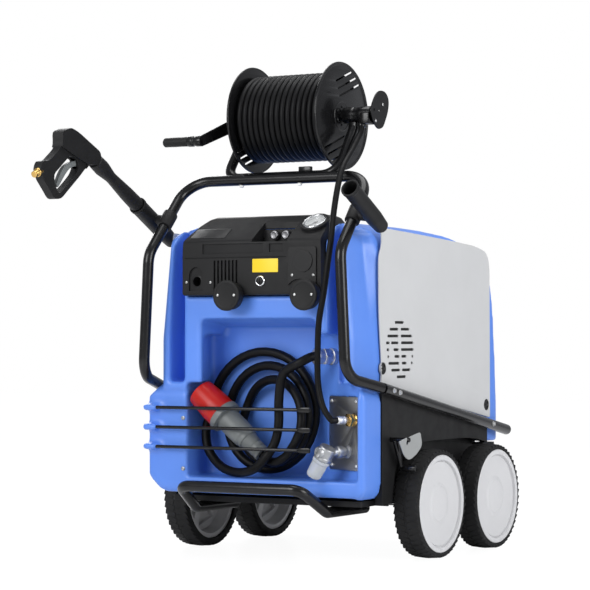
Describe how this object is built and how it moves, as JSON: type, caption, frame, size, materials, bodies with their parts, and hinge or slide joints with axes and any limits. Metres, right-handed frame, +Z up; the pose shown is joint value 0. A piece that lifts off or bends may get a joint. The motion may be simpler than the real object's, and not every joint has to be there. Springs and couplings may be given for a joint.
{
  "type": "pressure washer",
  "caption": "Mobile hot-water pressure washer with moulded hood, wheeled chassis, push handle, console, cable bay, hose reel with crank, and trigger gun in its holder.",
  "frame": {"origin": "on the ground under the middle of the machine's outline, measured without its hose and cable", "axes": "+Z up, -Y towards the operator at the console, +X to the operator's right"},
  "size_m": [0.816, 1.3688, 1.3626],
  "materials": {
    "hood_blue": "satin moulded",
    "panel_grey": "satin",
    "black_paint": "gloss",
    "black_plastic": "fine grain",
    "grey_plastic": "satin",
    "grey_metal": "satin",
    "steel": "brushed",
    "chrome_trim": "polished",
    "cast_aluminium": "cast",
    "brass": "satin",
    "tread_rubber": "matte",
    "rim_plastic": "satin",
    "hose_rubber": "satin",
    "clear_plastic": "gloss",
    "plug_red": "satin"
  },
  "bodies": {
    "machine": {"chassis_tray": "black_plastic", "hood_shell": "hood_blue", "side_panel_right": "panel_grey", "side_panel_left": "panel_grey", "handle_frame": "black_paint", "side_rail_right": "black_paint", "side_rail_left": "black_paint", "bumper_bar": "black_paint", "console_housing": "black_plastic", "module_cover": "black_plastic", "gauge_case": "steel", "switch_ring": "steel", "cord_post_left": "black_plastic", "cord_post_right": "black_plastic", "stowage_rod_bottom": "black_paint", "stowage_rod_middle": "black_paint", "stowage_rod_top": "black_paint", "axle_front": "steel", "axle_rear": "steel", "cable_gland": "steel", "outlet_plate": "steel", "outlet_union": "brass", "filter_head": "steel", "filter_bowl": "clear_plastic", "reel_stand": "black_paint", "reel_swivel": "black_paint", "reel_end_plate": "grey_metal", "holder_right": "black_plastic", "holder_left": "black_plastic", "outlet_hose": "hose_rubber", "hose_crimp": "steel", "power_cable": "hose_rubber", "plug_body": "grey_plastic", "plug_collar": "plug_red", "motor": "cast_aluminium", "pump": "brass", "water_heater": "steel"},
    "wheel_front_left": {"tyre_front_left": "tread_rubber", "rim_front_left": "rim_plastic"},
    "wheel_front_right": {"tyre_front_right": "tread_rubber", "rim_front_right": "rim_plastic"},
    "wheel_rear_left": {"tyre_rear_left": "tread_rubber", "rim_rear_left": "rim_plastic"},
    "wheel_rear_right": {"tyre_rear_right": "tread_rubber", "rim_rear_right": "rim_plastic"},
    "brake": {"brake_lever": "grey_metal"},
    "reel": {"reel_core": "black_plastic", "reel_flange_left": "black_paint", "reel_flange_right": "black_paint", "hose_winding": "hose_rubber", "crank_arm": "black_paint"},
    "grip": {"crank_grip": "black_plastic"},
    "key_switch": {"switch_knob": "black_plastic"},
    "pressure_dial": {"pressure_knob": "chrome_trim"},
    "temperature_dial": {"temperature_knob": "chrome_trim"},
    "needle": {"gauge_needle": "black_plastic"},
    "gun": {"gun_body": "black_plastic", "gun_barrel": "black_plastic", "gun_nipple": "brass"},
    "trigger": {"gun_trigger": "grey_plastic"}
  },
  "joints": [
    {"name": "wheel_front_left_roll", "type": "hinge", "parent": "machine", "child": "wheel_front_left", "pos_m": [-0.37, 0.15147, 0.14889], "axis": [1, 0, 0], "continuous": true},
    {"name": "wheel_front_right_roll", "type": "hinge", "parent": "machine", "child": "wheel_front_right", "pos_m": [0.37, 0.15147, 0.14889], "axis": [1, 0, 0], "continuous": true},
    {"name": "wheel_rear_left_roll", "type": "hinge", "parent": "machine", "child": "wheel_rear_left", "pos_m": [-0.37, 0.50347, 0.14889], "axis": [1, 0, 0], "continuous": true},
    {"name": "wheel_rear_right_roll", "type": "hinge", "parent": "machine", "child": "wheel_rear_right", "pos_m": [0.37, 0.50347, 0.14889], "axis": [1, 0, 0], "continuous": true},
    {"name": "brake_press", "type": "hinge", "parent": "machine", "child": "brake", "pos_m": [0.35, -0.01653, 0.32889], "axis": [1, 0, 0], "range_deg": [0, 13]},
    {"name": "reel_spin", "type": "hinge", "parent": "machine", "child": "reel", "pos_m": [0, 0.06847, 1.21489], "axis": [1, 0, 0], "continuous": true},
    {"name": "grip_spin", "type": "hinge", "parent": "reel", "child": "grip", "pos_m": [-0.3, -0.08848, 1.14959], "axis": [1, 0, 0], "continuous": true},
    {"name": "switch_turn", "type": "hinge", "parent": "machine", "child": "key_switch", "pos_m": [0.032, -0.1845, 0.75489], "axis": [0, -1, 0], "range_deg": [0, 90]},
    {"name": "pressure_turn", "type": "hinge", "parent": "machine", "child": "pressure_dial", "pos_m": [0.042, -0.1285, 0.87989], "axis": [0, -1, 0], "range_deg": [0, 270]},
    {"name": "temperature_turn", "type": "hinge", "parent": "machine", "child": "temperature_dial", "pos_m": [0.078, -0.1285, 0.87989], "axis": [0, -1, 0], "range_deg": [0, 270]},
    {"name": "needle_swing", "type": "hinge", "parent": "machine", "child": "needle", "pos_m": [0.167, -0.12445, 0.9099], "axis": [0, 0.5638, -0.8259], "range_deg": [0, 270], "stiffness_Nm_per_rad": 0.001, "springref_deg": -11.46},
    {"name": "gun_draw", "type": "slide", "parent": "machine", "child": "gun", "axis": [0, -0.8788, 0.4772], "range_m": [0, 0.11]},
    {"name": "trigger_pull", "type": "hinge", "parent": "gun", "child": "trigger", "pos_m": [-0.354, -0.48546, 1.07314], "axis": [-1, 0, 0], "range_deg": [0, 9], "stiffness_Nm_per_rad": 1, "springref_deg": -11.46}
  ]
}
